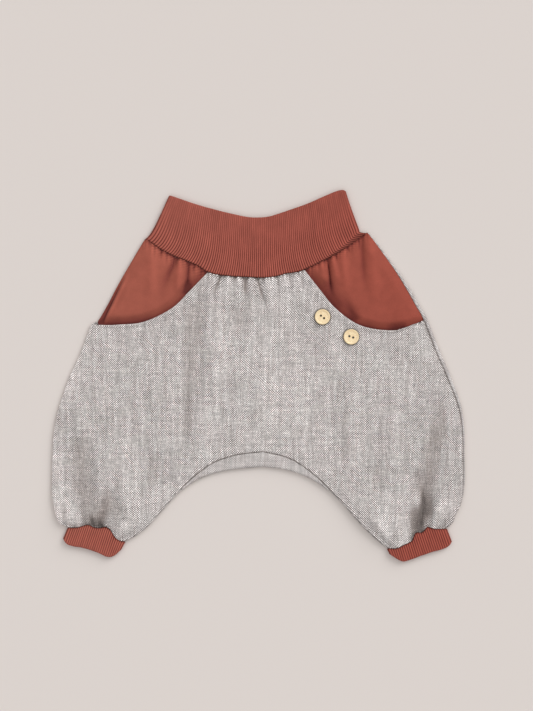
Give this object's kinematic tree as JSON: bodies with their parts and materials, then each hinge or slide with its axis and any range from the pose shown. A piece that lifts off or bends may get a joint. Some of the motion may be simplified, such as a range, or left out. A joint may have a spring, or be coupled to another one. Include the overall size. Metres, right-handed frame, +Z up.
{
  "type": "baby harem trousers",
  "caption": "Small harem-cut trousers laid flat, with a ribbed waistband, ribbed cuffs, curved hip pockets and a low crotch.",
  "frame": {"origin": "middle of the garment's outline, on the surface that it lies on", "axes": "+Y towards the waist, +X to the right of the laid garment seen from above, +Z up from the surface"},
  "size_m": [0.3895, 0.3487, 0.0107],
  "materials": {
    "woven": "heathered grey and off-white plain weave, matt",
    "jersey": "rust-coloured jersey, matt",
    "rib": "rust-coloured rib knit, matt",
    "wood": "pale turned wood, satin"
  },
  "bodies": {
    "root": {"waistband": "rib", "front_panel": "woven", "back_panel": "woven", "pocket_left": "jersey", "pocket_right": "jersey", "cuff_left": "rib", "cuff_right": "rib", "button_upper": "wood", "button_lower": "wood"}
  },
  "joints": []
}
